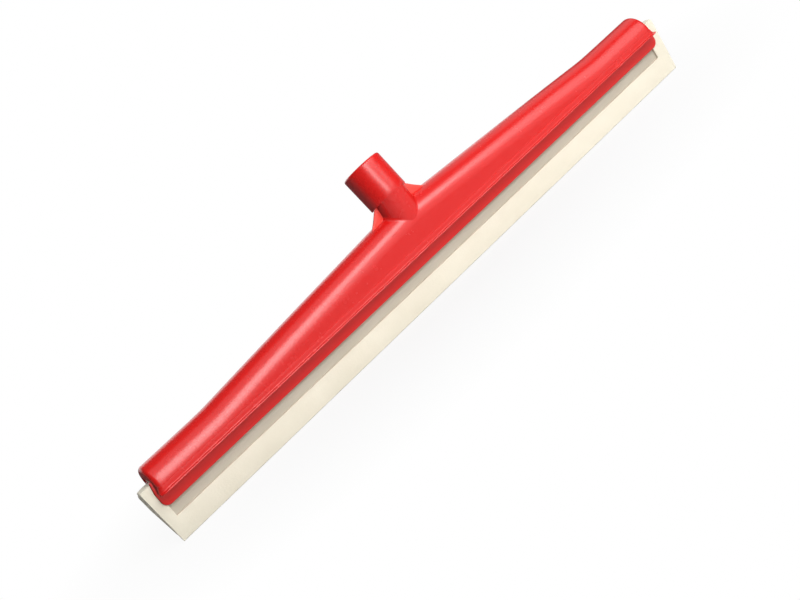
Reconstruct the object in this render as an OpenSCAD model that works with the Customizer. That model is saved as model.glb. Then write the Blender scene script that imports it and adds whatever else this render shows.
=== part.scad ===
// Squeegee head for a screw-in handle, with a slide-in cassette of two foam rubber blades.
// One arched plastic moulding carries a leaning handle socket and a T-slot channel.
// The cassette is a core rail, two jaws, two blades and a row of pins, and it slides out along +X.
// X runs along the blades, -Y is the front, +Z is up.
// Origin: on the socket's axis, where the thread starts below the mouth's chamfer.

/* [Head] */
// Length of the head, end to end
head_length = 582; // [420:1:780]
// Depth of the head across its straight ends
end_depth = 36; // [32:0.5:44]
// Step from the front of the ends back to the front of the middle
belt_step = 0.7; // [0.2:0.1:1.5]
// Plastic over the channel roof at the straight ends
roof_wall = 4.8; // [4:0.2:8]
// Step from the crown of the ends down to the start of the rising middle
crown_step = 0.3; // [0.2:0.1:1]
// Height of the middle's crown over the crown of the ends
crown_rise = 16.4; // [8:0.1:24]
// Length of each straight end, up to where the crown starts to rise
end_straight = 65; // [30:1:120]
// Rounding of the end edges
end_round = 3.75; // [1:0.25:4]
// Thickness of the closed wall at the left end of the T-slot
end_wall = 3.5; // [2:0.25:6]

/* [Lip] */
// Reach of the lip in front of the straight ends' face
lip_reach = 3.6; // [2:0.1:8]
// Height of the flared skirt above the lip's lower edge
lip_height = 5.25; // [4:0.05:9]
// Thickness of the lip at its edge
lip_edge = 0.8; // [0.5:0.1:1.5]
// Height of the underside of the side walls above the lip's lower edge
lip_hollow = 1.9; // [1.5:0.1:3]

/* [Handle socket] */
// Outer diameter of the socket
socket_d = 36.8; // [34:0.1:44]
// Length of the socket along its axis
socket_length = 33.3; // [31.5:0.1:50]
// Lean of the socket towards the back, in degrees
socket_lean = 19; // [10:0.5:30]
// Rounding of the socket's outer mouth edge
socket_round = 1.2; // [0.4:0.1:2]
// Diameter of the handle thread
thread_d = 26; // [20:0.5:28]
// Depth of the handle thread from the mouth
thread_depth = 31; // [20:0.5:32]
// Chamfer at the thread's mouth
thread_chamfer = 1.2; // [0.4:0.1:2]
// Diameter of the neck where it meets the socket
neck_d = 30.4; // [28:0.1:32]
// Draft of the neck, in degrees: it widens downwards
neck_draft = 1.5; // [0:0.5:3]
// Height of the socket's foot over the crown of the middle
neck_height = 8.7; // [8:0.1:16]
// Distance of the socket's foot behind the middle plane
socket_setback = 1.1; // [0:0.1:3]
// Distance of the neck's axis in front of the socket's foot
neck_forward = 2.3; // [0:0.1:3]

/* [Gussets] */
// Thickness of the two gussets
gusset_t = 2.2; // [1.6:0.1:4]
// Reach of each gusset past the socket's wall
gusset_reach = 11.6; // [6:0.2:16]
// Hollow of a gusset's outer edge
gusset_hollow = 0.2; // [0.1:0.1:2]

/* [Coring] */
// Distance from one coring pocket to the next
core_pitch = 28; // [20:1:50]
// Thickness of the ribs between coring pockets
core_rib = 3; // [2:0.25:5]
// Plastic over the corners of a coring pocket
core_wall = 3; // [2:0.25:5]
// Plastic left between the thread's end and the pocket below it
core_floor = 5; // [3:0.5:8]

/* [Cassette] */
// Length of the two jaws
jaw_length = 589.2; // [424:0.1:784]
// Thickness of each jaw
jaw_t = 3.9; // [3:0.1:5]
// Height of each jaw
jaw_height = 23.05; // [18:0.05:30]
// Height of the jaws that shows below the head's lip
jaw_show = 12.4; // [8:0.1:16]
// Radius of the jaws' lower corners
jaw_corner = 6; // [2:0.5:9]
// Distance by which the front jaw's ends lean in at their top
front_lean = 1.9; // [0.5:0.1:4]
// Distance by which the rear jaw's ends lean in at their top
rear_lean = 7; // [4:0.5:9]
// Height over the lip's lower edge from which the jaws' ends lean in
jaw_lean_up = 1.5; // [0.5:0.5:5]
// Rounding of the jaws' lower outer edge
jaw_round = 1; // [0.5:0.1:2]
// Thickness of the core rail's web
web_t = 3; // [2.5:0.1:5]
// Height of the core rail's web between the jaws
web_height = 21; // [15:0.5:28]
// Width of the core rail's top flange
flange_w = 15; // [10:0.5:17]
// Thickness of the core rail's top flange
flange_t = 2.6; // [2:0.1:4]
// Thickness of the two ledges that carry the flange
ledge_t = 2; // [1.5:0.1:4]

/* [Pins] */
// Diameter of the clamp pins
pin_d = 3; // [2:0.25:4]
// Diameter of the clamp pins' heads
pin_head_d = 6; // [4.5:0.25:8]
// Thickness of the clamp pins' heads
pin_head_t = 1.2; // [0.8:0.1:1.8]
// Greatest distance from one clamp pin to the next
pin_pitch = 56; // [30:1:100]
// Distance of the end pins from the jaws' ends
pin_end = 14.6; // [12:0.1:40]
// Distance of the pins below the jaws' top edge
pin_drop = 6; // [5:0.5:8]

/* [Blades] */
// Length of the wiping edge
blade_length = 600; // [436:1:796]
// Growth of each blade end from the wiping edge to the height of the jaws' top
blade_flare = 3; // [0:0.25:6]
// Length of the lowered top at the blades' ends that is still inside the head
drop_inside = 1; // [0.5:0.5:4]
// Drop of the front blade's top at its ends
front_drop = 1.5; // [0.5:0.25:4]
// Radius of the front blade's upper corners
front_corner = 1; // [0.5:0.25:3]
// Drop of the rear blade's top at its ends
rear_drop = 5; // [1:0.5:7]
// Radius of the rear blade's upper corners
rear_corner = 5; // [1:0.5:8]
// Height of the front blade below the jaws
blade_free = 28.95; // [20:0.05:40]
// Thickness of each blade
blade_t = 8; // [6:0.25:10]
// Depth by which the jaws and the pocket sink into each blade
pocket_depth = 2.4; // [1:0.1:3]
// Height of the open pocket below the front jaw
pocket_height = 10.3; // [6:0.1:14]
// Distance of the pocket's ends inside the jaws' ends
pocket_end = 3.6; // [1:0.1:8]
// Thickness of the front blade at its wiping edge
edge_t = 1.9; // [1:0.1:3]
// Chamfer of the wiping edge
edge_chamfer = 0.7; // [0.2:0.1:1]
// Height of the rear blade's edge above the wiping edge
rear_edge_up = 6; // [3:0.5:10]
// Thickness of the rear blade at its edge
rear_edge_t = 0.8; // [0.5:0.1:2]
// Gap between the two blades where they lie side by side
blade_gap = 0.8; // [0.4:0.1:1.5]

/* [Detent spring] */
// Length of the spring strip
spring_length = 26; // [18:1:40]
// Width of the spring strip
spring_w = 8; // [5:0.5:9]
// Thickness of the spring strip
spring_t = 0.6; // [0.4:0.1:0.8]
// Depth of the spring's pocket in the channel roof
spring_pocket = 1.8; // [1.4:0.1:2.4]
// Depth of the notch that the spring's nose drops into
notch_depth = 1.3; // [0.8:0.1:1.6]
// Half length of the notch in the core rail
notch_half = 5; // [4:0.5:8]
// Distance of the notch from the head's right end
notch_end = 30; // [24:1:60]

/* [Fits] */
// Running clearance between the cassette and the channel, on each side
slide_fit = 0.3; // [0.2:0.05:0.6]
// Clearance of the spring in its pocket and over the notch
spring_fit = 0.15; // [0.1:0.05:0.3]
// Radial clearance of the pins in the jaws and the core rail
pin_fit = 0.05; // [0.02:0.01:0.1]

/* [Hidden] */

red = [0.85, 0.13, 0.12];
dark_red = [0.72, 0.10, 0.10];
cream = [0.93, 0.90, 0.82];
steel = [0.75, 0.76, 0.78];

over = 1;         // how far a cut runs past the face that it opens
bury = 3;         // how deep one shape of a moulding starts inside another
flare_steps = 8;  // segments in the lip's flare
edge_steps = 8;   // segments in a gusset's outer edge
round_fn = 96;    // smoothness of the large round faces
small_fn = 48;    // smoothness of the small round faces

// Heights, counted from the wiping edge
jaw_z = blade_free;
lip_z = jaw_z + jaw_show;
belt_z = lip_z + lip_height;
under_z = lip_z + lip_hollow;
jaw_top = jaw_z + jaw_height;
ledge_z = jaw_top + slide_fit;
flange_z = ledge_z + ledge_t + slide_fit;
flange_top = flange_z + flange_t;
roof_z = flange_top + slide_fit;
end_crown = roof_z + roof_wall;
mid_crown = end_crown + crown_rise;
foot_z = mid_crown + neck_height;
web_z = jaw_top - web_height;
pin_z = jaw_top - pin_drop;
lean_z = lip_z + jaw_lean_up;

// Half lengths and half widths
head_end = head_length / 2;
kink_x = head_end - end_straight;
jaw_end = jaw_length / 2;
blade_end = blade_length / 2;
blade_out = web_t / 2 + blade_t;
seat_y = blade_out - pocket_depth;
jaw_out = seat_y + jaw_t;
channel_y = jaw_out + slide_fit;
slot_y = web_t / 2 + slide_fit;
tee_y = flange_w / 2 + slide_fit;
rail_start = end_wall - head_end + slide_fit;
rail_stop = head_end;
end_r = end_depth / 2;
mid_r = end_r - belt_step;
lip_y = end_r + lip_reach;

// Socket frame
socket_r = socket_d / 2;
neck_r = neck_d / 2;
thread_start = socket_length - thread_chamfer;
origin_y = socket_setback + thread_start * sin(socket_lean);
origin_z = foot_z + thread_start * cos(socket_lean);
gusset_foot = socket_r + gusset_reach;

// Pins
pin_spans = ceil((jaw_length - 2 * pin_end) / pin_pitch);
pin_step = (jaw_length - 2 * pin_end) / pin_spans;

// Spring
notch_x = head_end - notch_end;
spring_top = roof_z + spring_pocket - spring_fit;
nose_z = flange_top - notch_depth + 2 * spring_fit;

// Height of the crown over any place along the head
function crown_at(x) =
    abs(x) >= kink_x ? end_crown
                     : mid_crown - (crown_rise + crown_step) * abs(x) / kink_x;

// Skirt and lip of the front, from the face outwards
function lip_points() =
    concat([[-end_r + bury, belt_z]],
           [for (i = [0:flare_steps]) [-end_r - lip_reach * (1 - cos(90 * i / flare_steps)),
                                       belt_z - (lip_height - lip_edge) * sin(90 * i / flare_steps)]],
           [[-lip_y + lip_edge / 3, lip_z], [-end_r, under_z], [-end_r + bury, under_z]]);

// Moves a piece from the wiping edge's frame to the row's frame
module place() {
    translate([0, -origin_y, -origin_z]) children();
}

// Extrudes a Y-Z outline along X, about the middle
module along_x(length) {
    translate([-length / 2, 0, 0]) rotate([90, 0, 90]) linear_extrude(length) children();
}

// Extrudes an X-Z outline from y0 to y1
module along_y(y0, y1) {
    translate([0, y1, 0]) rotate([90, 0, 0]) linear_extrude(y1 - y0) children();
}

// A box from one corner to the other
module block(low, high) {
    translate(low) cube(high - low);
}

// Both mirror images of a shape, left and right
module both_ends() {
    children();
    mirror([1, 0, 0]) children();
}

// Both mirror images of a shape, front and rear
module both_sides() {
    children();
    mirror([0, 1, 0]) children();
}

// Half plan of the ends with a rounded corner, to the right of the head's middle
module end_plan() {
    square([head_end, end_r - end_round]);
    square([head_end - end_round, end_r]);
    translate([head_end - end_round, end_r - end_round]) circle(end_round, $fn = small_fn);
}

// Straight end on the right: a half round crown on upright sides, with a rounded end edge
module straight_end() {
    axis_z = end_crown - end_r;
    intersection() {
        union() {
            translate([0, 0, axis_z]) rotate([0, 90, 0])
                rotate_extrude($fn = round_fn) rotate(90) mirror([0, 1]) end_plan();
            translate([0, 0, under_z]) linear_extrude(axis_z - under_z) both_sides() end_plan();
        }
        block([kink_x, -end_depth, under_z], [head_end + over, end_depth, mid_crown]);
    }
}

// Right half of the middle, which rises towards the neck
module rising_half() {
    slope = atan((crown_rise + crown_step) / kink_x);
    intersection() {
        translate([0, 0, mid_crown - mid_r / cos(slope)]) rotate([0, slope, 0]) rotate([90, 0, 90])
            linear_extrude(2 * kink_x, center = true) union() {
                circle(mid_r, $fn = round_fn);
                translate([-mid_r, -mid_crown]) square([2 * mid_r, mid_crown]);
            }
        block([0, -end_depth, under_z], [kink_x, end_depth, mid_crown]);
    }
}

// Places what follows on the socket's axis, with z = 0 at its foot
module on_socket() {
    translate([0, socket_setback, foot_z]) rotate([-socket_lean, 0, 0]) children();
}

// Socket with a rounded mouth edge
module socket() {
    on_socket() rotate_extrude($fn = round_fn) union() {
        square([socket_r - socket_round, socket_length]);
        square([socket_r, socket_length - socket_round]);
        translate([socket_r - socket_round, socket_length - socket_round]) circle(socket_round, $fn = small_fn);
    }
}

// Neck between the crown and the socket's leaning foot
module neck() {
    difference() {
        translate([0, socket_setback - neck_forward, roof_z])
            cylinder(h = foot_z - roof_z + socket_r, r1 = neck_r + (foot_z - roof_z) * tan(neck_draft),
                     r2 = neck_r - socket_r * tan(neck_draft), $fn = round_fn);
        on_socket() block([-socket_d, -socket_d, bury], [socket_d, socket_d, 2 * socket_d]);
    }
}

// Gusset on the right of the neck
module gusset() {
    top_z = foot_z + socket_setback * tan(socket_lean);
    foot = crown_at(gusset_foot);
    edge = [for (i = [0:edge_steps]) let (t = i / edge_steps)
            [gusset_foot + (socket_r - gusset_foot) * t - gusset_hollow * sin(180 * t),
             foot + (top_z - foot) * t - gusset_hollow * sin(180 * t)]];
    neck_y = socket_setback - neck_forward;
    along_y(neck_y - gusset_t / 2, neck_y + gusset_t / 2)
        polygon(concat([[neck_r - bury, foot - bury], [gusset_foot, foot - bury]], edge,
                       [[socket_r - bury, top_z + bury], [neck_r - bury, top_z]]));
}

// Bore for the handle's thread, with a chamfered mouth
module thread_bore() {
    on_socket() translate([0, 0, socket_length - thread_depth])
        cylinder(h = thread_depth + over, d = thread_d, $fn = round_fn);
    on_socket() translate([0, 0, thread_start])
        cylinder(h = 2 * thread_chamfer, d1 = thread_d, d2 = thread_d + 4 * thread_chamfer, $fn = round_fn);
}

// Channel for the cassette: open below and at both ends, T-slot closed on the left
module channel() {
    block([-head_end - over, -channel_y, lip_z - over], [head_end + over, channel_y, ledge_z]);
    block([end_wall - head_end, -slot_y, ledge_z - over], [head_end + over, slot_y, flange_z]);
    block([end_wall - head_end, -tee_y, ledge_z + ledge_t], [head_end + over, tee_y, roof_z]);
}

// Pockets that core out the thick middle, open into the channel
module coring() {
    half = (core_pitch - core_rib) / 2;
    drop = mid_r - sqrt(pow(mid_r - core_wall, 2) - pow(tee_y, 2));
    bore_z = foot_z + (socket_length - thread_depth) * cos(socket_lean) - thread_d / 2 * sin(socket_lean);
    for (i = [-floor(kink_x / core_pitch):floor(kink_x / core_pitch)]) {
        x = i * core_pitch;
        near_neck = abs(x) < neck_r + half;
        top_z = min(crown_at(abs(x) + half) - drop, near_neck ? bore_z - core_floor : mid_crown);
        if (top_z > roof_z + core_wall)
            block([x - half, -tee_y, roof_z - over], [x + half, tee_y, top_z]);
    }
}

// Pocket in the channel roof for the detent spring
module spring_seat() {
    half = spring_length / 2 + spring_fit;
    block([notch_x - half, -spring_w / 2 - spring_fit, roof_z - over],
          [notch_x + half, spring_w / 2 + spring_fit, roof_z + spring_pocket]);
}

// The moulded head with its socket
module head_frame() {
    color(red) place() difference() {
        union() {
            both_ends() straight_end();
            both_ends() rising_half();
            block([-kink_x, -end_r, under_z], [kink_x, end_r, belt_z]);
            both_sides() along_x(head_length) polygon(lip_points());
            neck();
            socket();
            both_ends() gusset();
        }
        channel();
        coring();
        spring_seat();
        thread_bore();
    }
}

// Bent strip in the channel roof, with its nose in the core rail's notch
module detent_spring() {
    end_x = spring_length / 2;
    knee_x = spring_length / 4;
    nose_x = notch_half / 4;
    low = nose_z - spring_top + spring_t;
    top_line = [[-end_x, 0], [-knee_x, 0], [-nose_x, low], [nose_x, low], [knee_x, 0], [end_x, 0]];
    points = concat(top_line, [for (i = [5:-1:0]) [top_line[i][0], top_line[i][1] - spring_t]]);
    color(steel) place() translate([notch_x, 0, spring_top])
        along_y(-spring_w / 2, spring_w / 2) polygon(points);
}

// Holes for the clamp pins
module pin_holes(d) {
    for (i = [0:pin_spans])
        translate([-jaw_end + pin_end + i * pin_step, 0, pin_z])
            rotate([90, 0, 0]) cylinder(h = 4 * blade_out, d = d, center = true, $fn = small_fn);
}

// T-shaped rail that runs in the head and holds the blades apart
module core_rail() {
    color(dark_red) place() difference() {
        union() {
            block([rail_start, -web_t / 2, web_z], [rail_stop, web_t / 2, flange_top]);
            block([rail_start, -flange_w / 2, flange_z], [rail_stop, flange_w / 2, flange_top]);
        }
        pin_holes(pin_d + 2 * pin_fit);
        block([notch_x - notch_half, -flange_w, flange_top - notch_depth],
              [notch_x + notch_half, flange_w, flange_top + over]);
    }
}

// Outline with upright ends that lean in above lean_z
module leaning_ends(end, lean, low) {
    polygon([[-end, low], [end, low], [end, lean_z], [end - lean, jaw_top], [lean - end, jaw_top],
             [-end, lean_z]]);
}

// Outline of a jaw seen from the front, with round lower corners
module jaw_outline(lean) {
    leaning_ends(jaw_end, lean, jaw_z + jaw_corner);
    translate([jaw_corner - jaw_end, jaw_z])
        square([jaw_length - 2 * jaw_corner, lip_z - jaw_z]);
    for (x = [jaw_corner - jaw_end, jaw_end - jaw_corner])
        translate([x, jaw_z + jaw_corner]) circle(jaw_corner, $fn = small_fn);
}

// Front jaw: a plate with a rounded lower outer edge and seats for the pin heads
module jaw(lean) {
    difference() {
        intersection() {
            along_y(-jaw_out, -seat_y) jaw_outline(lean);
            along_x(jaw_length) union() {
                translate([-jaw_out, jaw_z + jaw_round]) square([jaw_t, jaw_height]);
                translate([-jaw_out + jaw_round, jaw_z]) square([jaw_t - jaw_round, jaw_height]);
                translate([-jaw_out + jaw_round, jaw_z + jaw_round]) circle(jaw_round, $fn = small_fn);
            }
        }
        pin_holes(pin_d + 2 * pin_fit);
        for (i = [0:pin_spans])
            translate([-jaw_end + pin_end + i * pin_step, -jaw_out + pin_head_t, pin_z])
                rotate([90, 0, 0]) cylinder(h = pin_head_t + over, d = pin_head_d + 2 * pin_fit, $fn = small_fn);
    }
}

module front_jaw() {
    color(dark_red) place() jaw(front_lean);
}

module rear_jaw() {
    color(dark_red) place() mirror([0, 1, 0]) jaw(rear_lean);
}

// Front outline of a blade: each end leans out, and its round-cornered top stands lower than the
// part between the jaws
module blade_outline(drop, corner) {
    top = jaw_top - drop;
    side_z = top - corner;
    side_x = blade_end + blade_flare * side_z / jaw_top;
    polygon([[-blade_end, 0], [blade_end, 0], [side_x, side_z], [-side_x, side_z]]);
    translate([corner - side_x, side_z - corner]) square([2 * (side_x - corner), 2 * corner]);
    translate([drop_inside - head_end, side_z])
        square([head_length - 2 * drop_inside, jaw_top - side_z]);
    for (x = [corner - side_x, side_x - corner])
        translate([x, side_z]) circle(corner, $fn = small_fn);
}

// Seats of the jaws and holes of the pins, on the front side
module jaw_seat(lean) {
    seat_end = jaw_end + slide_fit;
    along_y(-blade_out - over, -seat_y) leaning_ends(seat_end, lean, jaw_z);
    along_y(-blade_out - over, -seat_y)
        translate([lean - seat_end, lean_z]) square([2 * (seat_end - lean), jaw_top + over - lean_z]);
    pin_holes(pin_d + 2 * pin_fit);
}

// Front blade: flat face down to the wiping edge, back cut on a slant below the core rail
module front_blade() {
    profile = [[-blade_out, jaw_top], [-blade_out, edge_chamfer], [-blade_out + edge_chamfer, 0],
               [-blade_out + edge_t, 0], [-web_t / 2, web_z], [-web_t / 2, jaw_top]];
    color(cream) place() difference() {
        intersection() {
            along_x(blade_length + 2 * blade_flare) polygon(profile);
            along_y(-blade_out - over, 0) blade_outline(front_drop, front_corner);
        }
        jaw_seat(front_lean);
        block([pocket_end - jaw_end, -blade_out - over, jaw_z - pocket_height],
              [jaw_end - pocket_end, -seat_y, jaw_z + over]);
    }
}

// Rear blade: bends forward below its jaw and closes on the slant of the front blade
module rear_blade() {
    slant = (blade_out - edge_t - web_t / 2) / web_z;
    edge_y = -blade_out + edge_t + slant * rear_edge_up + blade_gap;
    meet_z = web_z * 0.6;
    meet_y = -blade_out + edge_t + slant * meet_z + blade_gap;
    profile = [[web_t / 2, jaw_top], [blade_out, jaw_top], [blade_out, jaw_z],
               [edge_y + rear_edge_t, rear_edge_up], [edge_y, rear_edge_up], [meet_y, meet_z],
               [web_t / 2, web_z]];
    color(cream) place() difference() {
        intersection() {
            along_x(blade_length + 2 * blade_flare) polygon(profile);
            along_y(-blade_out, blade_out + over) blade_outline(rear_drop, rear_corner);
        }
        mirror([0, 1, 0]) jaw_seat(rear_lean);
    }
}

// Row of headed pins through the jaws, the blades and the core rail
module clamp_pins() {
    color(steel) place()
        for (i = [0:pin_spans])
            translate([-jaw_end + pin_end + i * pin_step, 0, pin_z]) rotate([90, 0, 0]) {
                cylinder(h = 2 * jaw_out - pin_head_t, d = pin_d, center = true, $fn = small_fn);
                for (side = [-1, 1])
                    translate([0, 0, side * (jaw_out - pin_head_t / 2)])
                        cylinder(h = pin_head_t, d = pin_head_d, center = true, $fn = small_fn);
            }
}

head_frame();
detent_spring();
core_rail();
front_jaw();
rear_jaw();
front_blade();
rear_blade();
clamp_pins();
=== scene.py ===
import math
import bmesh
import bpy
from mathutils import Matrix, Vector


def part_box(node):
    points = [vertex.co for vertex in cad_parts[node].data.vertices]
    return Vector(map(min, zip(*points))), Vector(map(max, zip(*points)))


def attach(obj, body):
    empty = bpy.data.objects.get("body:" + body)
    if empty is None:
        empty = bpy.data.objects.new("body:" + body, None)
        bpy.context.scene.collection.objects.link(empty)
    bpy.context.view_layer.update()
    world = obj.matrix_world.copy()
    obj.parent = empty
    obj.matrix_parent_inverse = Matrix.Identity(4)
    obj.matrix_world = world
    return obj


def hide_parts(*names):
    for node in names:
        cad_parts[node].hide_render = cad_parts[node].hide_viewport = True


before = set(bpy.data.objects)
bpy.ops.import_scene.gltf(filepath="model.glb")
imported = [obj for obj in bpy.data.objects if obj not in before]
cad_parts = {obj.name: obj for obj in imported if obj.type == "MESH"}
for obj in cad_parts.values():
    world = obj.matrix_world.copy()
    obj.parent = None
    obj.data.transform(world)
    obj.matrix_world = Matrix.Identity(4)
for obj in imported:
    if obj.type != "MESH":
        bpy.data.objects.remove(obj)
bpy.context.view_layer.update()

MM = 0.001

# ---------------------------------------------------------------- sizes, in millimetres
# Heights count from the wiping edge, depths from the middle plane of the head.

edge_low, edge_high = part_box("front_blade")
rail_low, rail_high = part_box("core_rail")
head_low, head_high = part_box("head_frame")
jaw_low, jaw_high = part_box("front_jaw")

middle_y = (rail_low.y + rail_high.y) / 2 / MM
edge_z = edge_low.z / MM

HEAD_END = head_high.x / MM
LIP_Z = head_low.z / MM - edge_z
LIP_Y = middle_y - head_low.y / MM
JAW_END = jaw_high.x / MM
FRONT_LEAN = 1.9         # the strips' ends lean in towards the top
REAR_LEAN = 7.0
JAW_LEAN_Z = LIP_Z + 1.5   # they are upright up to here
JAW_Z = jaw_low.z / MM - edge_z
JAW_TOP = jaw_high.z / MM - edge_z
JAW_OUT = middle_y - jaw_low.y / MM
JAW_SEAT = middle_y - jaw_high.y / MM
BLADE_TOP_END = edge_high.x / MM

END_RADIUS = 18.0        # half round crown of the straight ends
BELT_STEP = 0.7          # ledge between the front of the middle and the skirt
END_CROWN = 62.3
MID_CROWN = 78.7
KINK = 226.0             # where the rise starts, from the middle
KINK_SOFT = 9.0          # how softly it starts
SWELL = 0.55             # how far the rise stands over a straight line, at most
BELT_FADE = 60.0         # length over which the ledge fades out towards the ends
END_ROUND = 3.8          # rounding of both ends
LIP_ROUND = 3.4          # how far the lip draws back over that rounding
LIP_HEIGHT = 5.25        # from the lip's lower edge up to the ledge
LIP_HOLLOW = 0.5         # how far the underside stands over the lip's lower edge
LIP_THICK = 0.95
FLARE_RADIUS = 0.8       # hollow corner between the lip and the skirt
END_FLARE = 2.0          # how far the foot of both ends stands out in front
END_FLARE_FULL = 0.7     # height over the lip's lower edge where it still stands out in full
END_FLARE_HIGH = 4.6     # height over which it then fades out

OVER = 1.0               # how far a cut runs past the face that it opens
END_WALL = 3.5           # closes the slots at the left end
CHANNEL_HALF = 11.3      # half the width of the channel for the strips
CHANNEL_TOP = 52.3
WEB_SLOT_HALF = 1.8
TEE_FLOOR = 54.3
TEE_HALF = 7.8
ROOF = 57.5              # roof of the tee slot
CORE_PITCH = 28.0        # from one pocket under the arch to the next
CORE_COUNT = 8           # most pockets on each side of the middle one
CORE_HALF = 12.5
CORE_WALL = 5.3          # left over each pocket
CORE_LEAST = 3.0         # a shallower pocket is left out
SPRING_MIDDLE = 30.0     # middle of the spring's seat, from the right end
SPRING_SEAT_LONG = 13.15 # half its length
SPRING_SEAT_HALF = 4.15
SPRING_SEAT_DEEP = 1.8

SOCKET_RADIUS = 18.34    # at the mouth
SOCKET_BASE = 18.1
SOCKET_LENGTH = 33.3
SOCKET_LEAN = 19.0
SOCKET_FOOT_Y = 1.1
SOCKET_FOOT_Z = 87.4
SOCKET_ROUND = 2.0
SOCKET_STUB = 14.3       # radius of the part that is hidden in the neck
SOCKET_STUB_LONG = 5.6
BORE_RADIUS = 13.0
BORE_DEPTH = 31.0
BORE_CHAMFER = 1.2
NECK_RADIUS = 15.2       # under the socket
NECK_BASE = 15.7         # where the fillet starts
NECK_Y = -1.2
NECK_FILLET = 3.5
GUSSET_FOOT = 30.0
GUSSET_HALF = 1.1        # half its thickness
GUSSET_BOW = 0.2         # how hollow its outer edge is
GUSSET_CORE = 13.5       # where it ends inside the neck

JAW_CORNER = 6.0
PIN_PITCH = 56
PIN_COUNT = 11
PIN_DROP = 6.0           # below the strips' top
SEAT_RADIUS = 3.05       # of a pin head's seat
SEAT_DEPTH = 1.2
BLADE_END = 300.0
BLADE_LEAN = 3.0 / JAW_TOP # how far each end leans out, per millimetre of height
FRONT_DROP = 1.5         # the ends stand lower than the part between the strips
FRONT_CORNER = 1.0
REAR_DROP = 5.0
REAR_CORNER = 5.0
BLADE_FACE = 9.5
BLADE_SOFT = 0.45        # softness of the foam's edges
STRIP_PLAY = 0.25        # room that the foam leaves around its strip
WEB = 1.5                # half thickness of the rail's web
WEB_Z = 31.0
EDGE_THICK = 1.9
EDGE_CHAMFER = 0.7
REAR_EDGE_Z = 6.0        # how far the rear blade ends over the wiping edge
REAR_EDGE_THICK = 0.8
BLADE_GAP = 0.8          # between the blades
POCKET_Z = 18.7
POCKET_LEFT = -292.0
POCKET_RIGHT = 288.5
POCKET_TOP = JAW_Z + 2     # hidden behind the strip

ROUND_SIDES = 144        # sides of the neck and the socket
ARC_STEPS = 28
FLARE_STEPS = 10
WALL_STEPS = 4
END_STEPS = 8
FILLET_STEPS = 10
GUSSET_STEPS = 12


def spot(x, y, z):
    """A point of the object, given in millimetres, as a place in the row frame."""
    return Vector((x * MM, (y + middle_y) * MM, (z + edge_z) * MM))


# ---------------------------------------------------------------- modelling helpers

def rest_all():
    """Leaves edit mode with nothing selected."""
    if bpy.context.object and bpy.context.object.mode != "OBJECT":
        bpy.ops.object.mode_set(mode="OBJECT")
    bpy.ops.object.select_all(action="DESELECT")


def pick(piece):
    """Makes one piece the only one selected, and the active one."""
    rest_all()
    piece.select_set(True)
    bpy.context.view_layer.objects.active = piece


def shape_ring(piece, ring):
    """Puts the selected ring of corners on its points, in the order they were made."""
    mesh = bmesh.from_edit_mesh(piece.data)
    order = mesh.verts.layers.int["order"]
    for corner in mesh.verts:
        if corner.select:
            corner.co = ring[corner[order]]
    bmesh.update_edit_mesh(piece.data)


def loft(name, rings):
    """A closed skin: a filled circle is extruded from ring to ring, and each ring is shaped."""
    rest_all()
    bpy.ops.mesh.primitive_circle_add(vertices=len(rings[0]), radius=MM, fill_type="NGON")
    piece = bpy.context.object
    piece.name = piece.data.name = name
    bpy.ops.object.mode_set(mode="EDIT")
    mesh = bmesh.from_edit_mesh(piece.data)
    order = mesh.verts.layers.int.new("order")
    for number, corner in enumerate(mesh.verts):
        corner[order] = number
    bmesh.update_edit_mesh(piece.data)
    bpy.ops.mesh.select_all(action="SELECT")
    shape_ring(piece, rings[0])
    for ring in rings[1:]:
        bpy.ops.mesh.extrude_region_move(TRANSFORM_OT_translate={"value": (0, 0, MM)})
        shape_ring(piece, ring)
    bpy.ops.mesh.select_all(action="SELECT")
    bpy.ops.mesh.normals_make_consistent(inside=False)
    bpy.ops.object.mode_set(mode="OBJECT")
    return piece


def block(name, low, high):
    """A box between two corners given in millimetres."""
    rest_all()
    a, b = spot(*low), spot(*high)
    bpy.ops.mesh.primitive_cube_add(size=1, location=(a + b) / 2, scale=b - a)
    piece = bpy.context.object
    piece.name = piece.data.name = name
    bpy.ops.object.transform_apply(location=True, rotation=True, scale=True)
    return piece


def join(pieces):
    """Joins pieces into the first one."""
    rest_all()
    for piece in pieces:
        piece.select_set(True)
    bpy.context.view_layer.objects.active = pieces[0]
    if len(pieces) > 1:
        bpy.ops.object.join()
    return bpy.context.object


def apply_modifier(piece, kind, **settings):
    """Adds a modifier with its settings and applies it."""
    pick(piece)
    modifier = piece.modifiers.new(kind.title(), kind)
    for key, value in settings.items():
        setattr(modifier, key, value)
    bpy.ops.object.modifier_apply(modifier=modifier.name)
    return piece


def cut(piece, tool, operation="DIFFERENCE"):
    """Cuts a piece with a tool, which is used up."""
    apply_modifier(piece, "BOOLEAN", object=tool, operation=operation, solver="EXACT")
    bpy.data.objects.remove(tool, do_unlink=True)
    return piece


def smooth(piece, degrees=35):
    """Smooth faces, with sharp edges where they meet at more than this angle."""
    pick(piece)
    bpy.ops.object.shade_smooth_by_angle(angle=math.radians(degrees))
    return piece


def soft_edges(piece, width, segments=2, degrees=30):
    """Rounds every edge that is sharper than this angle."""
    return apply_modifier(
        piece, "BEVEL", width=width * MM, segments=segments, limit_method="ANGLE",
        angle_limit=math.radians(degrees), harden_normals=False, miter_outer="MITER_ARC")


# ---------------------------------------------------------------- the moulded head

RISE = (MID_CROWN - END_CROWN) / KINK
BELT_Z = LIP_Z + LIP_HEIGHT
UNDER_Z = LIP_Z + LIP_HOLLOW
SWELL_PEAK = 27 / 4      # brings the highest value of a * (1 - a) ** 2 to 1

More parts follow.
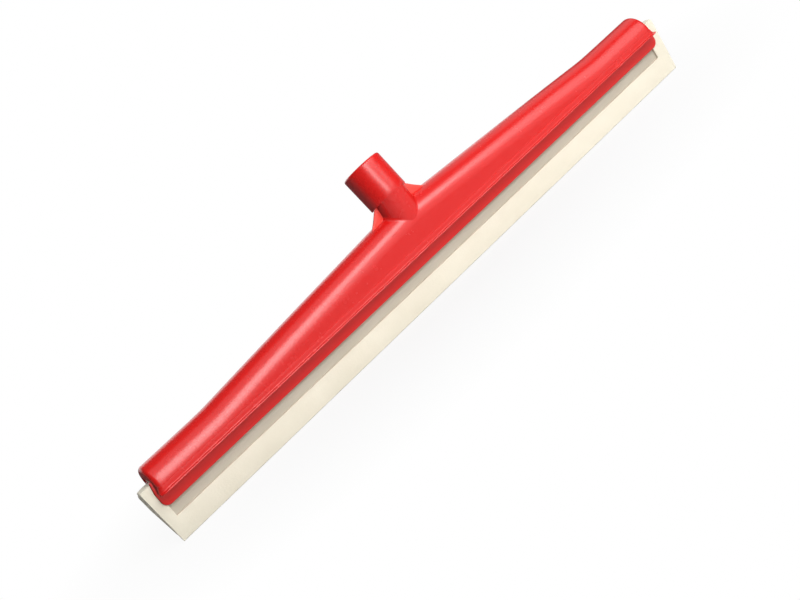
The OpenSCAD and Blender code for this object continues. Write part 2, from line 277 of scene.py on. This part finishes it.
# Rounded tip of the lip: in from its front, up from its lower edge.
LIP_TIP = ((0.6, 0.06), (0.32, 0.0), (0.12, 0.1), (0.02, 0.28), (0.0, 0.46), (0.06, 0.68), (0.22, 0.86))
# Outer edge of the ledge: in from the skirt, up from the ledge.
LEDGE_EDGE = ((0.0, -0.2), (0.05, -0.06), (0.18, 0.0))
LEDGE_SOFT = 0.3         # height of the soft corner between the ledge and the wall over it


def arch(x):
    """Radius and centre height of the crown's half circle at a place along the head."""
    inside = KINK - abs(x)
    crown = END_CROWN + RISE * (inside + math.hypot(inside, KINK_SOFT)) / 2
    share = min(max(inside / BELT_FADE, 0), 1)
    share = share * share * (3 - 2 * share)
    radius = END_RADIUS - BELT_STEP * share
    along = min(max(inside / KINK, 0), 1)
    crown += SWELL * SWELL_PEAK * along * (1 - along) ** 2
    return radius, crown - radius * (1 + (math.hypot(1, RISE) - 1) * share)


def head_half(radius, centre, turned):
    """Front outline of the head from its underside over the lip to the crown."""
    inset = END_ROUND * turned
    lip = LIP_Y - LIP_ROUND * turned
    side = radius - inset
    skirt = END_RADIUS - inset
    line = [(-skirt + 0.6, UNDER_Z), (-skirt + 0.1, UNDER_Z - 0.1)]
    line += [(-lip + inward, LIP_Z + up) for inward, up in LIP_TIP]
    for i in range(FLARE_STEPS + 1):
        turn = math.radians(90 * i / FLARE_STEPS)
        line.append((-skirt - FLARE_RADIUS * (1 - math.sin(turn)),
                     LIP_Z + LIP_THICK + FLARE_RADIUS * (1 - math.cos(turn))))
    line += [(-skirt + inward, BELT_Z + up) for inward, up in LEDGE_EDGE]
    start = max(centre, BELT_Z + 0.5)
    low = math.asin((start - centre) / side)
    foot = -side * math.cos(low)
    wall_z = BELT_Z + LEDGE_SOFT
    line += [(min(foot - 0.12, -skirt + LEDGE_SOFT), BELT_Z + 0.02), (foot - 0.02, BELT_Z + 0.12),
             (foot, wall_z)]
    line += [(foot, wall_z + (start - wall_z) * i / WALL_STEPS) for i in range(1, WALL_STEPS)]
    for i in range(ARC_STEPS):
        turn = low + (math.pi / 2 - low) * i / ARC_STEPS
        line.append((-side * math.cos(turn), centre + side * math.sin(turn)))
    return line


def head_ring(x, radius, centre, turned=0.0):
    """Whole outline of the head at a place along it. Where an end is rounded, turned runs from 0 to 1."""
    half = head_half(radius, centre, turned)
    crown = [(0.0, centre + radius - END_ROUND * turned)]
    line = half + crown + [(-y, z) for y, z in reversed(half)]
    return [spot(x, y, z) for y, z in line]


def end_rings(side):
    """Outlines that round off one end, from its straight part out to the end face."""
    rings = []
    for i in range(END_STEPS + 1):
        turn = math.radians(90 * i / END_STEPS)
        x = HEAD_END - END_ROUND * (1 - math.sin(turn))
        rings.append(head_ring(side * x, *arch(HEAD_END), 1 - math.cos(turn)))
    return rings


def flare_ends(body):
    """Draws the foot of both ends outwards, in front only."""
    pick(body)
    bpy.ops.object.mode_set(mode="EDIT")
    mesh = bmesh.from_edit_mesh(body.data)
    top = LIP_Z + END_FLARE_FULL + END_FLARE_HIGH
    for corner in mesh.verts:
        x, z = corner.co.x / MM, corner.co.z / MM - edge_z
        near = min(max((abs(x) - HEAD_END + END_ROUND) / END_ROUND, 0), 1)
        low = min(max((top - z) / END_FLARE_HIGH, 0), 1)
        if corner.co.y < middle_y * MM:
            corner.co.x += math.copysign(END_FLARE * near * low * MM, x)
    bmesh.update_edit_mesh(body.data)
    bpy.ops.object.mode_set(mode="OBJECT")
    return body


def make_head_body():
    """The moulding without neck and socket, cut out for the cassette, the arch's pockets and the spring."""
    # Places of the outlines: a millimetre apart where the rise starts, and wider apart elsewhere.
    straight = [HEAD_END - 8 - i * 8.5 for i in range(7)]
    bend = [KINK + 2 - i for i in range(13)]
    rising = [KINK - 12 - i * 6 for i in range(5)] + [KINK * i / 16 for i in range(13, 0, -1)]
    places = straight + bend + rising
    rings = list(reversed(end_rings(-1)))
    rings += [head_ring(-x, *arch(x)) for x in places]
    rings.append(head_ring(0, *arch(0)))
    rings += [head_ring(x, *arch(x)) for x in reversed(places)]
    rings += end_rings(1)
    body = loft("head_body", rings)
    left, right = END_WALL - HEAD_END, HEAD_END + OVER
    cut(body, block("channel", (-right, -CHANNEL_HALF, LIP_Z - OVER), (right, CHANNEL_HALF, CHANNEL_TOP)))
    cut(body, block("web_slot", (left, -WEB_SLOT_HALF, CHANNEL_TOP - OVER),
                    (right, WEB_SLOT_HALF, TEE_FLOOR + 0.3)))
    cut(body, block("tee_slot", (left, -TEE_HALF, TEE_FLOOR), (right, TEE_HALF, ROOF)))
    pockets = []
    for i in range(-CORE_COUNT, CORE_COUNT + 1):
        x = i * CORE_PITCH
        top = MID_CROWN - RISE * (abs(x) + CORE_HALF) - CORE_WALL
        if top > ROOF + CORE_LEAST:
            pockets.append(block("pocket", (x - CORE_HALF, -TEE_HALF, ROOF - OVER),
                                 (x + CORE_HALF, TEE_HALF, top)))
    cut(body, join(pockets))
    seat = HEAD_END - SPRING_MIDDLE
    cut(body, block("spring_seat", (seat - SPRING_SEAT_LONG, -SPRING_SEAT_HALF, ROOF - OVER),
                    (seat + SPRING_SEAT_LONG, SPRING_SEAT_HALF, ROOF + SPRING_SEAT_DEEP)))
    return smooth(flare_ends(body), 32)


def make_neck():
    """Neck with a rolled fillet where it runs into the crown."""
    seam = 0.02              # the fillet's foot starts this deep in the crown
    lean = math.tan(math.radians(SOCKET_LEAN))
    centre = Vector((0, NECK_Y, 0))
    reach = END_RADIUS - BELT_STEP + NECK_FILLET
    # Upper end, inside the socket: radius, share of it that is left, height over the socket's foot.
    upper = ((NECK_RADIUS, 1, 0.7), (NECK_RADIUS - 0.3, 1, 0.7), (NECK_RADIUS - 0.3, 1, -6),
             (NECK_RADIUS - 0.3, 0.5, -7))
    columns = []
    for k in range(ROUND_SIDES):
        turn = 2 * math.pi * k / ROUND_SIDES
        out = Vector((math.cos(turn), math.sin(turn), 0))
        ball = out * (NECK_BASE + NECK_FILLET) + centre
        rise = math.sqrt(reach * reach - ball.y * ball.y)
        ball.z = arch(ball.x)[1] + rise
        down = -Vector((0, ball.y, rise)).normalized()
        foot = ball + down * (NECK_FILLET + seam)
        column = [foot + down * 4 - out * 2, foot + down * 0.4]
        for i in range(FILLET_STEPS + 1):
            share = i / FILLET_STEPS
            toward = down.slerp(-out, share) if down.angle(-out) > 1e-4 else down
            column.append(ball + toward * (NECK_FILLET + seam * (1 - share)))
        for radius, left, up in upper:
            wall = out * radius + centre
            top = SOCKET_FOOT_Z - (wall.y - SOCKET_FOOT_Y) * lean
            column.append(Vector((wall.x * left, wall.y * left, top + up)))
        columns.append(column)
    neck = loft("neck", [[spot(*point) for point in ring] for ring in zip(*columns)])
    return smooth(neck, 40)


def on_socket(point):
    """From the socket's own axis, foot at height 0, to the row frame."""
    turned = Matrix.Rotation(math.radians(-SOCKET_LEAN), 3, "X") @ Vector(point)
    return spot(turned.x, turned.y + SOCKET_FOOT_Y, turned.z + SOCKET_FOOT_Z)


def make_socket():
    """Socket with a round mouth and a chamfered blind bore."""
    profile = [(SOCKET_STUB, -SOCKET_STUB_LONG), (SOCKET_STUB, -0.02), (SOCKET_BASE - 0.35, 0.0),
               (SOCKET_BASE - 0.1, 0.08), (SOCKET_BASE, 0.35)]
    for share in (0.15, 0.5, 0.85):
        profile.append((SOCKET_BASE + (SOCKET_RADIUS - SOCKET_BASE) * share, SOCKET_LENGTH * share))
    for i in range(END_STEPS + 1):
        turn = math.radians(90 * i / END_STEPS)
        profile.append((SOCKET_RADIUS - SOCKET_ROUND * (1 - math.cos(turn)),
                        SOCKET_LENGTH - SOCKET_ROUND * (1 - math.sin(turn))))
    mouth = BORE_RADIUS + BORE_CHAMFER
    profile += [(mouth + 0.25, SOCKET_LENGTH), (mouth + 0.05, SOCKET_LENGTH - 0.1),
                (mouth - 0.1, SOCKET_LENGTH - 0.3), (BORE_RADIUS + 0.1, SOCKET_LENGTH - BORE_CHAMFER),
                (BORE_RADIUS, SOCKET_LENGTH - BORE_CHAMFER - 0.3), (BORE_RADIUS, 14.0),
                (BORE_RADIUS, SOCKET_LENGTH - BORE_DEPTH + 0.5),
                (BORE_RADIUS - 0.5, SOCKET_LENGTH - BORE_DEPTH)]
    turns = [2 * math.pi * k / ROUND_SIDES for k in range(ROUND_SIDES)]
    rings = [[on_socket((radius * math.cos(turn), radius * math.sin(turn), height)) for turn in turns]
             for radius, height in profile]
    return smooth(loft("handle_socket", rings), 40)


def make_thread():
    """Ridge of the coarse handle thread, which fades in below the mouth and out again."""
    pitch, turns, steps = 5.0, 5.6, 56
    start, deep = 28.2, 1.15
    foot, top = 1.35, 0.65   # half its width at the root and at the crest
    root = BORE_RADIUS + 0.3
    total = int(turns * steps)
    rings = []
    for i in range(total + 1):
        turn = 2 * math.pi * i / steps
        height = start - pitch * i / steps
        fade = min(1.0, i / (steps * 0.35), (total - i) / (steps * 0.35))
        crest = BORE_RADIUS + 0.15 - deep * max(fade, 0.05)
        shape = [(root, -foot), (crest + 0.12, -top - 0.06), (crest, -top + 0.12),
                 (crest, top - 0.12), (crest + 0.12, top + 0.06), (root, foot)]
        rings.append([on_socket((r * math.cos(turn), r * math.sin(turn), height + h)) for r, h in shape])
    return smooth(loft("socket_thread", rings), 50)


def make_gusset(side):
    """Thin rib from the crown up to the socket's foot."""
    top_z = SOCKET_FOOT_Z + SOCKET_FOOT_Y * math.tan(math.radians(SOCKET_LEAN))
    foot_z = MID_CROWN - RISE * GUSSET_FOOT
    outline = [(GUSSET_CORE, foot_z - 3), (GUSSET_FOOT + 0.6, foot_z - 3), (GUSSET_FOOT + 0.3, foot_z - 0.25)]
    for i in range(GUSSET_STEPS + 1):
        share = i / GUSSET_STEPS
        bow = GUSSET_BOW * math.sin(math.pi * share)
        outline.append((GUSSET_FOOT + (SOCKET_BASE - GUSSET_FOOT) * share - bow,
                        foot_z + (top_z - foot_z) * share - bow))
    outline += [(SOCKET_BASE - 0.9, top_z + 2.2), (15.0, top_z + 2.2), (GUSSET_CORE, top_z - 1)]
    rings = [[spot(side * x, NECK_Y + y, z) for x, z in outline] for y in (-GUSSET_HALF, GUSSET_HALF)]
    gusset = loft("gusset_left" if side < 0 else "gusset_right", rings)
    soft_edges(gusset, 0.3, 2, 50)
    return smooth(gusset, 40)


# ---------------------------------------------------------------- the cassette

PINS = [PIN_PITCH * (i - PIN_COUNT // 2) for i in range(PIN_COUNT)]


def strip_blank(name, side, grow=0.0):
    """A clamping strip with round lower corners, whose ends lean in towards the top."""
    end = JAW_END + grow
    lean = FRONT_LEAN if side < 0 else REAR_LEAN
    half = [(end - JAW_CORNER + JAW_CORNER * math.sin(math.radians(a)),
             JAW_Z + JAW_CORNER - JAW_CORNER * math.cos(math.radians(a))) for a in range(0, 91, 9)]
    half += [(end, JAW_LEAN_Z), (end - lean, JAW_TOP)]
    if grow:
        half.append((end - lean, JAW_TOP + 2))
    outline = half + [(-x, z) for x, z in reversed(half)]
    near, far = sorted((side * JAW_SEAT, side * (JAW_OUT + grow)))
    return loft(name, [[spot(x, y, z) for x, z in outline] for y in (near, far)])


def make_jaw(name, side):
    """The finished strip, with soft edges and seats for the pin heads."""
    jaw = strip_blank(name, side)
    seats = []
    for x in PINS:
        rest_all()
        bpy.ops.mesh.primitive_cylinder_add(
            vertices=48, radius=SEAT_RADIUS * MM, depth=2 * SEAT_DEPTH * MM,
            location=spot(x, side * JAW_OUT, JAW_TOP - PIN_DROP), rotation=(math.pi / 2, 0, 0))
        bpy.ops.object.transform_apply(location=True, rotation=True, scale=True)
        seats.append(bpy.context.object)
    cut(jaw, join(seats))
    soft_edges(jaw, 0.8, 3, 40)
    return smooth(jaw, 35)


def make_blade(name, profile, side, drop, corner):
    """A full length strip of foam, cut to the ends' outline and to the seat of its clamping strip."""
    reach = BLADE_TOP_END + 2
    blade = loft(name, [[spot(x, y, z) for y, z in profile] for x in (-reach, reach)])
    top = JAW_TOP - drop
    side_x = BLADE_END + BLADE_LEAN * (top - corner)
    half = [(BLADE_END - 2 * BLADE_LEAN, -2)]
    for a in range(0, 91, 10):
        turn = math.radians(a)
        half.append((side_x - corner * (1 - math.cos(turn)), top - corner * (1 - math.sin(turn))))
    half += [(HEAD_END - 1, top), (HEAD_END - 1, JAW_TOP + 1)]
    outline = half + [(-x, z) for x, z in reversed(half)]
    keep = loft("keep", [[spot(x, y, z) for x, z in outline] for y in (-20, 20)])
    cut(blade, keep, "INTERSECT")
    return cut(blade, strip_blank("seat", side, STRIP_PLAY))


def make_front_blade():
    """Flat face down to the wiping edge, back on a slant, and one long open pocket."""
    profile = [(-BLADE_FACE, JAW_TOP), (-BLADE_FACE, EDGE_CHAMFER), (-BLADE_FACE + EDGE_CHAMFER, 0),
               (-BLADE_FACE + EDGE_THICK, 0), (-WEB, WEB_Z), (-WEB, JAW_TOP)]
    blade = make_blade("front_foam", profile, -1, FRONT_DROP, FRONT_CORNER)
    cut(blade, block("pocket", (POCKET_LEFT, -BLADE_FACE - 2, POCKET_Z),
                     (POCKET_RIGHT, -JAW_SEAT, POCKET_TOP)))
    soft_edges(blade, BLADE_SOFT, 3, 30)
    return smooth(blade, 40)


def make_rear_blade():
    """Bends forward below its strip and lies on the slant of the front blade."""
    slant = (BLADE_FACE - EDGE_THICK - WEB) / WEB_Z
    edge_y = -BLADE_FACE + EDGE_THICK + slant * REAR_EDGE_Z + BLADE_GAP
    meet_z = WEB_Z * 0.6
    meet_y = -BLADE_FACE + EDGE_THICK + slant * meet_z + BLADE_GAP
    profile = [(WEB, JAW_TOP), (BLADE_FACE, JAW_TOP), (BLADE_FACE, JAW_Z),
               (edge_y + REAR_EDGE_THICK, REAR_EDGE_Z), (edge_y, REAR_EDGE_Z), (meet_y, meet_z), (WEB, WEB_Z)]
    blade = make_blade("rear_foam", profile, 1, REAR_DROP, REAR_CORNER)
    soft_edges(blade, BLADE_SOFT, 3, 30)
    return smooth(blade, 40)


# ---------------------------------------------------------------- materials

class Value:
    """A shader socket that is used like a number in an expression."""

    def __init__(self, tree, socket):
        self.tree, self.socket = tree, socket

    def _maths(self, operation, *values):
        return self.tree.node("ShaderNodeMath", {"operation": operation}, *values)

    def __add__(self, other):
        return self._maths("ADD", self, other)

    def __radd__(self, other):
        return self._maths("ADD", other, self)

    def __sub__(self, other):
        return self._maths("SUBTRACT", self, other)

    def __rsub__(self, other):
        return self._maths("SUBTRACT", other, self)

    def __mul__(self, other):
        return self._maths("MULTIPLY", self, other)

    def __rmul__(self, other):
        return self._maths("MULTIPLY", other, self)


class Nodes:
    """A node tree whose nodes are written as expressions."""

    def __init__(self, tree):
        self.nodes, self.links = tree.nodes, tree.links

    def put(self, socket, value):
        """Links a socket or sets it; None leaves it as it is, and a colour gets its alpha."""
        if isinstance(value, Value):
            self.links.new(value.socket, socket)
        elif value is not None:
            socket.default_value = (*value, 1) if socket.type == "RGBA" else value

    def node(self, kind, settings=None, *values, **named):
        """Adds a node: its settings first, then the values or links of its sockets."""
        made = self.nodes.new(kind)
        settings = dict(settings or {})
        output = settings.pop("output", 0)
        for key, value in settings.items():
            setattr(made, key, value)
        for socket, value in zip(made.inputs, values):
            self.put(socket, value)
        for key, value in named.items():
            self.put(made.inputs[key.replace("_", " ")], value)
        return Value(self, made.outputs[output]) if made.outputs else None


class Finish(Nodes):
    """A material with the patterns that its finish is made of."""

    def __init__(self, name):
        self.material = bpy.data.materials.new(name)
        self.material.use_nodes = True
        super().__init__(self.material.node_tree)
        self.shader = self.nodes["Principled BSDF"]
        self.place = self.node("ShaderNodeTexCoord", {"output": "Object"})

    def noise(self, scale, detail=2.0, roughness=0.5, vector=None):
        return self.node("ShaderNodeTexNoise", {"output": "Fac"}, Vector=vector or self.place,
                         Scale=scale, Detail=detail, Roughness=roughness)

    def cells(self, scale):
        return self.node("ShaderNodeTexVoronoi", {"output": "Distance", "feature": "F1"},
                         Vector=self.place, Scale=scale)

    def stretch(self, x, y, z):
        return self.node("ShaderNodeMapping", None, Vector=self.place, Scale=(x, y, z))

    def part(self, axis, vector):
        return self.node("ShaderNodeSeparateXYZ", {"output": axis}, vector)

    def between(self, share, low, high, from_low=0.0, from_high=1.0):
        return self.node("ShaderNodeMapRange", {"clamp": True}, Value=share, From_Min=from_low,
                         From_Max=from_high, To_Min=low, To_Max=high)

    def mix(self, share, a, b, blend="MIX"):
        """Mixes two colours, whose sockets follow those for numbers and vectors."""
        number_and_vector = [None] * 5
        return self.node("ShaderNodeMix", {"data_type": "RGBA", "blend_type": blend, "output": 2},
                         share, *number_and_vector, a, b)

    def bump(self, height, strength, distance, under=None):
        return self.node("ShaderNodeBump", None, Strength=strength, Distance=distance, Height=height,
                         Normal=under)

    def done(self, **sockets):
        for key, value in sockets.items():
            self.put(self.shader.inputs[key.replace("_", " ")], value)
        return self.material


def colour(red, green, blue):
    """A colour given as it looks on a screen, as light."""
    return tuple(c / 12.92 if c <= 0.04045 else ((c + 0.055) / 1.055) ** 2.4 for c in (red, green, blue))


END_PAINTED_SHADE = (0.2, 0.01, 0.01)        # painted shade: faces that look along the head run into this colour
POCKET_PAINTED_SHADE = (0.66, 0.645, 0.635)   # painted shade: the foam's colour is multiplied by it inside the pocket, under the strip and the lip
POCKET_SHADE_FADE = 0.4 * MM               # length over which that painted shade starts


def red_plastic(name, base, deep, roughness=0.26):
    """Satin moulded plastic: fine grain of the mould, faint flow marks, and matt ends darkened with painted
    shade.
    """
    f = Finish(name)
    flow = f.noise(9.0, 3.0, 0.55, f.stretch(0.25, 1.0, 1.0))
    tone = f.mix(f.between(flow, 0.0, 0.55, 0.35, 0.7), base, deep)
    grain = f.noise(2600.0, 2.0, 0.6)
    soft = f.noise(180.0, 3.0, 0.5)
    along = f.part("X", f.node("ShaderNodeTexCoord", {"output": "Normal"}))
    ends = f.between(along * along, 0.0, 1.0, 0.7, 0.95)
    # painted shade: faces that look along the head are darkened, as where they turn away from the lamps
    tone = f.mix(ends * 0.6, tone, END_PAINTED_SHADE)
    rough = roughness + (flow - 0.5) * 0.10 + (soft - 0.5) * 0.08 + ends * 0.5
    normal = f.bump(soft, 0.06, 0.0006, f.bump(grain, 0.10, 0.00012))
    return f.done(Base_Color=tone, Roughness=rough, Normal=normal, IOR=1.46,
                  Coat_Weight=0.0, Specular_IOR_Level=0.65)


def foam_rubber(name, pale, dull, pocket=()):
    """Cellular rubber: a matt cream skin with open cells, and painted shade where a pocket is cut into it."""
    f = Finish(name)
    cells, big = f.cells(1100.0), f.cells(420.0)
    mottle = f.noise(28.0, 4.0, 0.6)
    speck = f.between(big, 1.0, 0.0, 0.03, 0.14)
    tone = f.mix(f.between(mottle, 0.0, 0.6, 0.3, 0.75), pale, dull)
    tone = f.mix(speck * 0.35, tone, dull)
    if pocket:
        inside = 1.0
        for axis, low, high in pocket:
            place = f.part(axis, f.place)
            over = f.between(place, 0.0, 1.0, low - POCKET_SHADE_FADE, low)
            under = f.between(place, 1.0, 0.0, high, high + POCKET_SHADE_FADE)
            inside = over * under * inside
        # painted shade: the recessed pocket under the strip is darkened
        tone = f.mix(inside, tone, POCKET_PAINTED_SHADE, "MULTIPLY")
    height = cells * 0.5 + big * 0.5
    normal = f.bump(height, 0.35, 0.00025, f.bump(mottle, 0.15, 0.0008))
    return f.done(Base_Color=tone, Roughness=0.88 + (mottle - 0.5) * 0.1, Normal=normal,
                  Specular_IOR_Level=0.3, Sheen_Weight=0.12, Sheen_Roughness=0.5)


def strip_steel(name, tint, roughness=0.32, along=(1.0, 14.0, 14.0)):
    """Rolled steel with fine lines along its length."""
    f = Finish(name)
    lines = f.noise(420.0, 3.0, 0.6, f.stretch(*along))
    cloud = f.noise(60.0, 2.0)
    tone = f.mix(f.between(cloud, 0.0, 0.5), tint, tuple(c * 0.82 for c in tint))
    return f.done(Base_Color=tone, Metallic=1.0, Roughness=roughness + (lines - 0.5) * 0.2,
                  Normal=f.bump(lines, 0.15, 0.0001))


def pocket_shade_span():
    """Where the front blade's pocket and its painted shade lie along each axis. Its depth starts 1 mm behind
    the face.
    """
    low = spot(POCKET_LEFT - 0.4, -BLADE_FACE + 1.0, POCKET_Z)
    high = spot(POCKET_RIGHT + 0.4, 0, POCKET_TOP)
    return [(axis, low[i], high[i]) for i, axis in enumerate("XYZ")]


def dress(piece, material, body):
    """Gives a piece its material and the body that it rides on."""
    piece.data.materials.clear()
    piece.data.materials.append(material)
    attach(piece, body)


# ---------------------------------------------------------------- build

head_red = red_plastic("head_red_plastic", colour(0.81, 0.093, 0.078), colour(0.775, 0.078, 0.067))
# painted light: the ribs get a lighter copy of the head's red plastic, which brightens them
rib_painted_light_red = red_plastic("rib_red_plastic", colour(0.95, 0.30, 0.26), colour(0.92, 0.26, 0.22))
# painted light: the strips get a slightly lighter copy of the head's red, which lifts them out of the lip's
# shade
jaw_painted_light_red = red_plastic("jaw_red_plastic", colour(0.84, 0.097, 0.075), colour(0.80, 0.08, 0.065), 0.32)
rail_red = red_plastic("rail_red_plastic", colour(0.70, 0.07, 0.07), colour(0.64, 0.06, 0.06), 0.48)
foam_pale, foam_dull = colour(0.88, 0.858, 0.79), colour(0.835, 0.81, 0.735)
# this rubber carries painted shade in its pocket
cream_face = foam_rubber("cream_face_rubber", foam_pale, foam_dull, pocket_shade_span())
cream = foam_rubber("cream_foam_rubber", foam_pale, foam_dull)
spring = strip_steel("spring_strip", (0.56, 0.57, 0.6))
pin = strip_steel("pin_steel", (0.6, 0.61, 0.63), 0.36, (1.0, 1.0, 1.0))

head_body = make_head_body()
neck = make_neck()
socket = make_socket()
thread = make_thread()
ribs = [make_gusset(-1), make_gusset(1)]
for piece in (head_body, neck, socket, thread):
    dress(piece, head_red, "head")
for rib in ribs:
    dress(rib, rib_painted_light_red, "head")
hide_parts("head_frame")

front_strip = make_jaw("front_clamp_strip", -1)
rear_strip = make_jaw("rear_clamp_strip", 1)
front_foam = make_front_blade()
rear_foam = make_rear_blade()
dress(front_strip, jaw_painted_light_red, "cassette")
dress(rear_strip, jaw_painted_light_red, "cassette")
dress(front_foam, cream_face, "cassette")
dress(rear_foam, cream, "cassette")
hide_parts("front_jaw")
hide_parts("rear_jaw")
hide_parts("front_blade")
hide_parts("rear_blade")

for node, material in (("core_rail", rail_red), ("clamp_pins", pin), ("detent_spring", spring)):
    for material_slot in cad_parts[node].material_slots:
        material_slot.material = material


# ---------------------------------------------------------------- studio

CAMERA_SPOT = (-425.1, -944.4, 367.3)
CAMERA_TURN = 21.935     # degrees that it looks to the right of straight on
CAMERA_DIP = 18.96       # degrees downwards
CAMERA_ROLL = 36.103     # degrees
LENS = 60.0
LAMPS_AIM = (0, 0, -0.03)
FLOOR_DROP = 0.0005      # the floor lies this far under the wiping edge
FLOOR_TONE = 0.55
GLOW = 0.12              # even light from all round
WHITE = (1, 1, 1)


def softbox(name, around, up, distance, size, power):
    """A soft lamp that faces the object: degrees to the right of the front and above it."""
    light = bpy.data.lights.new(name, "AREA")
    light.shape, light.size, light.size_y = "RECTANGLE", size[0], size[1]
    light.energy = power
    holder = bpy.data.objects.new(name, light)
    bpy.context.scene.collection.objects.link(holder)
    turn, lift = math.radians(around), math.radians(up)
    way = Vector((math.sin(turn) * math.cos(lift), -math.cos(turn) * math.cos(lift), math.sin(lift)))
    holder.location = Vector(LAMPS_AIM) + way * distance
    holder.rotation_mode = "QUATERNION"
    holder.rotation_quaternion = way.to_track_quat("Z", "Y")


def make_floor():
    """A pale floor that takes the object's shadow and fades to plain white away from it."""
    rest_all()
    bpy.ops.mesh.primitive_plane_add(size=14, location=(0, 0, edge_z * MM - FLOOR_DROP))
    floor = bpy.context.object
    floor.name = "studio_floor"
    f = Finish("studio_floor_white")
    white = f.node("ShaderNodeEmission", None, Color=WHITE, Strength=1.0)
    seen = f.node("ShaderNodeLightPath", {"output": "Is Camera Ray"})
    across = f.node("ShaderNodeVectorMath", {"operation": "LENGTH", "output": "Value"},
                    f.stretch(0.45, 1.0, 1.0))
    f.done(Base_Color=(FLOOR_TONE, FLOOR_TONE, FLOOR_TONE), Roughness=0.9, Specular_IOR_Level=0.2)
    share = seen * f.between(across, 0.85, 1.0, 0.05, 0.2)
    plain = Value(f, f.shader.outputs[0])
    both = f.node("ShaderNodeMixShader", None, share, plain, white)
    f.put(f.nodes["Material Output"].inputs["Surface"], both)
    floor.data.materials.append(f.material)


def make_world():
    """White to the camera, and a faint even glow on the object."""
    world = bpy.context.scene.world or bpy.data.worlds.new("studio")
    bpy.context.scene.world = world
    world.use_nodes = True
    world.node_tree.nodes.clear()
    sky = Nodes(world.node_tree)
    seen = sky.node("ShaderNodeLightPath", {"output": "Is Camera Ray"})
    glow = sky.node("ShaderNodeBackground", None, Color=WHITE, Strength=GLOW)
    white = sky.node("ShaderNodeBackground", None, Color=WHITE, Strength=1.0)
    both = sky.node("ShaderNodeMixShader", None, seen, glow, white)
    sky.node("ShaderNodeOutputWorld", None, both)


def make_camera():
    """A camera that is rolled on its own axis, dipped and turned."""
    data = bpy.data.cameras.new("camera")
    camera = bpy.data.objects.new("camera", data)
    bpy.context.scene.collection.objects.link(camera)
    data.lens, data.sensor_width = LENS, 36.0
    camera.location = spot(*CAMERA_SPOT)
    turn = Matrix.Rotation(math.radians(-CAMERA_TURN), 3, "Z")
    tip = Matrix.Rotation(math.radians(90 - CAMERA_DIP), 3, "X")
    roll = Matrix.Rotation(math.radians(-CAMERA_ROLL), 3, "Z")
    camera.rotation_mode = "QUATERNION"
    camera.rotation_quaternion = (turn @ tip @ roll).to_quaternion()
    data.clip_start, data.clip_end = 0.05, 50
    bpy.context.scene.camera = camera


make_floor()
make_world()
make_camera()
softbox("key", 15, 42, 1.5, (1.1, 0.6), 14)
softbox("front_tall", 2, 24, 1.6, (0.55, 0.6), 6)
softbox("front_low", 12, 8, 1.6, (2.4, 1.0), 8)
softbox("right_front", 50, 33, 1.6, (1.0, 0.9), 7)
softbox("right_back", 125, 40, 1.6, (1.2, 0.9), 2.5)
softbox("top", 5, 72, 1.5, (1.4, 1.0), 4)
softbox("back_low", 180, 14, 1.7, (2.4, 1.0), 10)

bpy.context.scene.view_settings.view_transform = "Standard"
